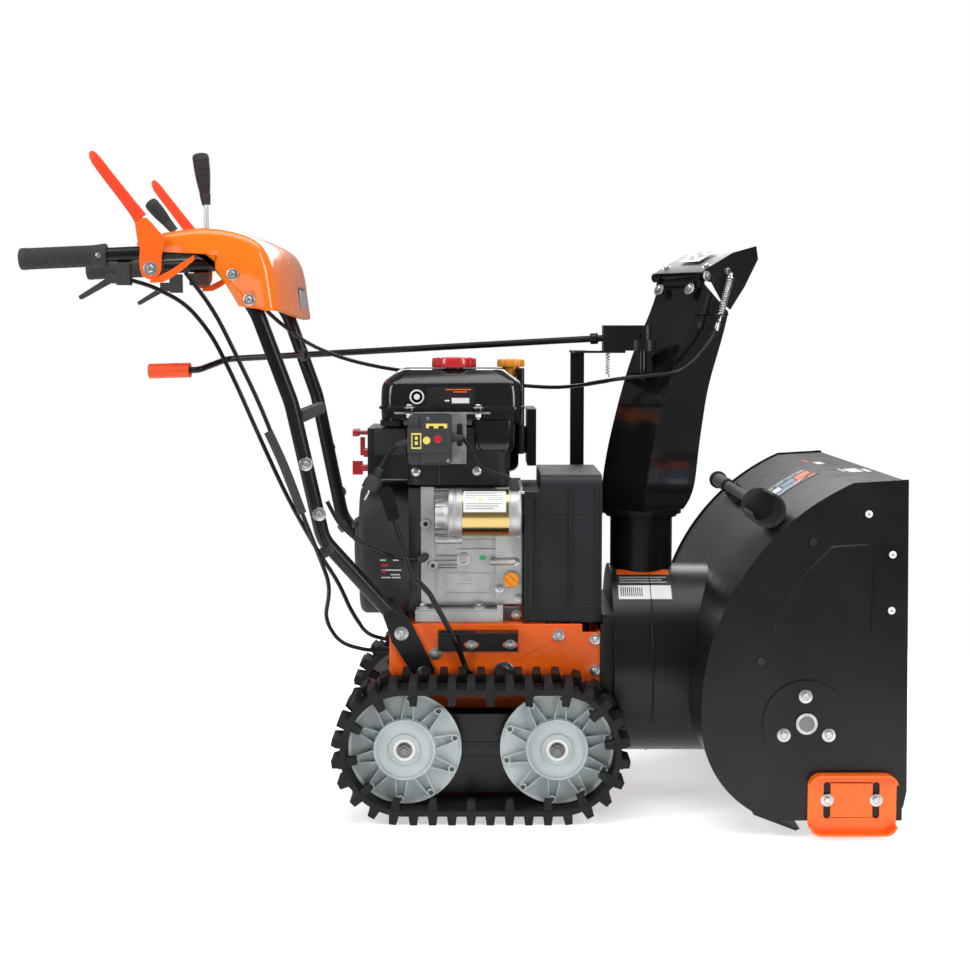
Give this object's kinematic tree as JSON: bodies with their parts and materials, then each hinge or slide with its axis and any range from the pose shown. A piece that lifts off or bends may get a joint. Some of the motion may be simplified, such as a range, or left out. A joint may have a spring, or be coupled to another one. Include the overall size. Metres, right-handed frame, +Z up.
{
  "type": "two stage snowblower",
  "caption": "Walk-behind two-stage snowblower on rubber tracks, with an auger housing, a turning discharge chute, an engine and a handlebar console.",
  "frame": {"origin": "on the ground, at the bottom centre of the bounding box", "axes": "+X is the direction of travel, towards the auger; +Y is the operator's left; +Z is up"},
  "size_m": [1.4428, 0.752, 1.1286],
  "materials": {
    "orange_paint": "gloss powder coat",
    "black_paint": "semi-gloss powder coat",
    "lever_paint": "dipped vinyl over orange paint",
    "black_plastic": "fine grained moulding",
    "tank_plastic": "gloss",
    "grip_rubber": "matt, ribbed",
    "cable_rubber": "satin jacket",
    "cast_aluminium": "as cast",
    "steel": "zinc plated",
    "friction_rubber": "rubber tyre on steel",
    "auger_paint": "semi-gloss powder coat",
    "starter_can": "yellow zinc plated",
    "wheel_plastic": "moulded grey",
    "track_rubber": "matt tread rubber",
    "red_plastic": "moulded red",
    "amber_plastic": "moulded orange"
  },
  "bodies": {
    "chassis": {"tractor_frame": "orange_paint", "handlebar_right": "black_paint", "handlebar_left": "black_paint", "handle_grips": "grip_rubber", "handle_brackets": "black_plastic", "dash_panel": "orange_paint", "auger_housing": "black_paint", "side_plate_right": "black_paint", "side_plate_left": "black_paint", "scraper_bar": "black_paint", "skid_shoes": "orange_paint", "clean_out_tool": "black_plastic", "chute_crank_support": "black_paint", "belt_cover": "black_plastic", "engine_block": "cast_aluminium", "engine_shroud": "black_plastic", "fuel_tank": "tank_plastic", "blower_housing": "black_plastic", "muffler": "black_paint", "starter_motor": "starter_can", "starter_switch_box": "black_plastic", "shaft_bearings": "steel", "auger_gearbox": "cast_aluminium", "track_right": "track_rubber", "track_left": "track_rubber", "control_cables": "cable_rubber", "plug_cord": "cable_rubber", "plug": "black_plastic", "fasteners": "steel", "drive_belts": "cable_rubber", "lever_gate": "black_paint"},
    "auger": {"auger_shaft": "steel", "auger_flights": "auger_paint"},
    "impeller": {"impeller": "steel"},
    "crankshaft": {"crankshaft": "steel"},
    "drive_plate": {"drive_plate": "steel"},
    "hex_shaft": {"hex_shaft": "steel"},
    "friction_wheel": {"friction_wheel": "friction_rubber"},
    "wheel_rear_right": {"wheel_rear_right": "wheel_plastic"},
    "wheel_rear_left": {"wheel_rear_left": "wheel_plastic"},
    "wheel_front_right": {"wheel_front_right": "wheel_plastic"},
    "wheel_front_left": {"wheel_front_left": "wheel_plastic"},
    "chute": {"chute": "black_paint", "deflector_cable": "cable_rubber"},
    "deflector": {"chute_deflector": "black_paint"},
    "chute_crank": {"chute_crank": "black_paint"},
    "deflector_lever": {"deflector_lever": "black_plastic"},
    "speed_lever": {"speed_lever": "black_plastic"},
    "auger_clutch_lever": {"auger_clutch_lever": "lever_paint"},
    "drive_clutch_lever": {"drive_clutch_lever": "lever_paint"},
    "steering_trigger_right": {"steering_trigger_right": "black_plastic"},
    "steering_trigger_left": {"steering_trigger_left": "black_plastic"},
    "height_lever": {"height_lever": "black_paint"},
    "choke_knob": {"choke_knob": "red_plastic"},
    "throttle_lever": {"throttle_lever": "red_plastic"},
    "ignition_key": {"ignition_key": "steel"},
    "start_button": {"start_button": "red_plastic"},
    "fuel_cap": {"fuel_cap": "red_plastic"},
    "coolant_cap": {"coolant_cap": "amber_plastic"},
    "recoil_handle": {"recoil_handle": "black_plastic"}
  },
  "joints": [
    {"name": "auger_spin", "type": "hinge", "parent": "chassis", "child": "auger", "pos_m": [0.557, 0, 0.189], "axis": [0, 1, 0], "continuous": true},
    {"name": "impeller_spin", "type": "hinge", "parent": "chassis", "child": "impeller", "pos_m": [0.3, 0, 0.232], "axis": [1, 0, 0], "continuous": true},
    {"name": "crankshaft_spin", "type": "hinge", "parent": "chassis", "child": "crankshaft", "pos_m": [0, 0, 0.43], "axis": [1, 0, 0], "continuous": true},
    {"name": "drive_plate_spin", "type": "hinge", "parent": "chassis", "child": "drive_plate", "pos_m": [0.155, 0, 0.228], "axis": [1, 0, 0], "continuous": true},
    {"name": "hex_shaft_spin", "type": "hinge", "parent": "chassis", "child": "hex_shaft", "pos_m": [0.074, 0, 0.23], "axis": [0, 1, 0], "continuous": true},
    {"name": "friction_wheel_slide", "type": "slide", "parent": "hex_shaft", "child": "friction_wheel", "axis": [0, 1, 0], "range_m": [-0.09, 0.02]},
    {"name": "wheel_rear_right_spin", "type": "hinge", "parent": "chassis", "child": "wheel_rear_right", "pos_m": [-0.0935, -0.24, 0.121], "axis": [0, 1, 0], "continuous": true},
    {"name": "wheel_rear_left_spin", "type": "hinge", "parent": "chassis", "child": "wheel_rear_left", "pos_m": [-0.0935, 0.24, 0.121], "axis": [0, 1, 0], "continuous": true},
    {"name": "wheel_front_right_spin", "type": "hinge", "parent": "chassis", "child": "wheel_front_right", "pos_m": [0.1615, -0.24, 0.121], "axis": [0, 1, 0], "continuous": true},
    {"name": "wheel_front_left_spin", "type": "hinge", "parent": "chassis", "child": "wheel_front_left", "pos_m": [0.1615, 0.24, 0.121], "axis": [0, 1, 0], "continuous": true},
    {"name": "chute_rotation", "type": "hinge", "parent": "chassis", "child": "chute", "pos_m": [0.322, 0, 0.5], "axis": [0, 0, 1], "range_deg": [-130, 50]},
    {"name": "chute_crank_turn", "type": "hinge", "parent": "chassis", "child": "chute_crank", "pos_m": [-0.4516, 0.215, 0.7655], "axis": [0.9561, -0.2881, 0.0543], "range_deg": [-790, 310]},
    {"name": "deflector_tilt", "type": "hinge", "parent": "chute", "child": "deflector", "pos_m": [0.39554, 0.06171, 0.916], "axis": [-0.6428, 0.766, 0], "range_deg": [0, 45]},
    {"name": "deflector_lever_tilt", "type": "hinge", "parent": "chassis", "child": "deflector_lever", "pos_m": [-0.447, -0.04, 0.958], "axis": [0, 1, 0], "range_deg": [0, 32]},
    {"name": "speed_lever_shift", "type": "hinge", "parent": "chassis", "child": "speed_lever", "pos_m": [-0.484, 0.06, 0.957], "axis": [0, 1, 0], "range_deg": [-12, 48]},
    {"name": "auger_clutch_squeeze", "type": "hinge", "parent": "chassis", "child": "auger_clutch_lever", "pos_m": [-0.503, -0.258, 0.918], "axis": [0, -1, 0], "range_deg": [0, 50], "stiffness_Nm_per_rad": 1.5, "springref_deg": -28.65},
    {"name": "drive_clutch_squeeze", "type": "hinge", "parent": "chassis", "child": "drive_clutch_lever", "pos_m": [-0.503, 0.258, 0.918], "axis": [0, -1, 0], "range_deg": [0, 50], "stiffness_Nm_per_rad": 1.5, "springref_deg": -28.65},
    {"name": "steering_right_squeeze", "type": "hinge", "parent": "chassis", "child": "steering_trigger_right", "pos_m": [-0.571, -0.236, 0.903], "axis": [0, 1, 0], "range_deg": [0, 16], "stiffness_Nm_per_rad": 0.5, "springref_deg": -22.92},
    {"name": "steering_left_squeeze", "type": "hinge", "parent": "chassis", "child": "steering_trigger_left", "pos_m": [-0.571, 0.236, 0.903], "axis": [0, 1, 0], "range_deg": [0, 16], "stiffness_Nm_per_rad": 0.5, "springref_deg": -22.92},
    {"name": "height_lever_shift", "type": "hinge", "parent": "chassis", "child": "height_lever", "pos_m": [0.0125, -0.149, 0.225], "axis": [0, 1, 0], "range_deg": [0, 9]},
    {"name": "choke_pull", "type": "slide", "parent": "chassis", "child": "choke_knob", "axis": [-1, 0, 0], "range_m": [0, 0.012]},
    {"name": "throttle_turn", "type": "hinge", "parent": "chassis", "child": "throttle_lever", "pos_m": [-0.17, -0.06, 0.605], "axis": [1, 0, 0], "range_deg": [0, 60]},
    {"name": "ignition_key_turn", "type": "hinge", "parent": "chassis", "child": "ignition_key", "pos_m": [-0.17, -0.06, 0.578], "axis": [1, 0, 0], "range_deg": [0, 60]},
    {"name": "start_button_press", "type": "slide", "parent": "chassis", "child": "start_button", "axis": [0, 1, 0], "range_m": [0, 0.003], "stiffness_N_per_m": 300, "springref_m": -0.004},
    {"name": "fuel_cap_turn", "type": "hinge", "parent": "chassis", "child": "fuel_cap", "pos_m": [-0.013, -0.06, 0.76], "axis": [0, 0, 1], "range_deg": [0, 90]},
    {"name": "coolant_cap_turn", "type": "hinge", "parent": "chassis", "child": "coolant_cap", "pos_m": [0.087, 0, 0.76], "axis": [0, 0, 1], "range_deg": [0, 90]},
    {"name": "recoil_pull", "type": "slide", "parent": "chassis", "child": "recoil_handle", "axis": [-1, 0, 0], "range_m": [0, 0.25], "stiffness_N_per_m": 20, "springref_m": -0.2}
  ],
  "couplings": [
    {"joint": "impeller_spin", "follows": "auger_spin", "ratio": 10},
    {"joint": "wheel_front_right_spin", "follows": "wheel_rear_right_spin", "ratio": 1},
    {"joint": "wheel_front_left_spin", "follows": "wheel_rear_left_spin", "ratio": 1},
    {"joint": "chute_crank_turn", "follows": "chute_rotation", "ratio": 6},
    {"joint": "deflector_lever_tilt", "follows": "deflector_tilt", "ratio": 0.7},
    {"joint": "speed_lever_shift", "follows": "friction_wheel_slide", "rad_per_m": -8.7}
  ]
}
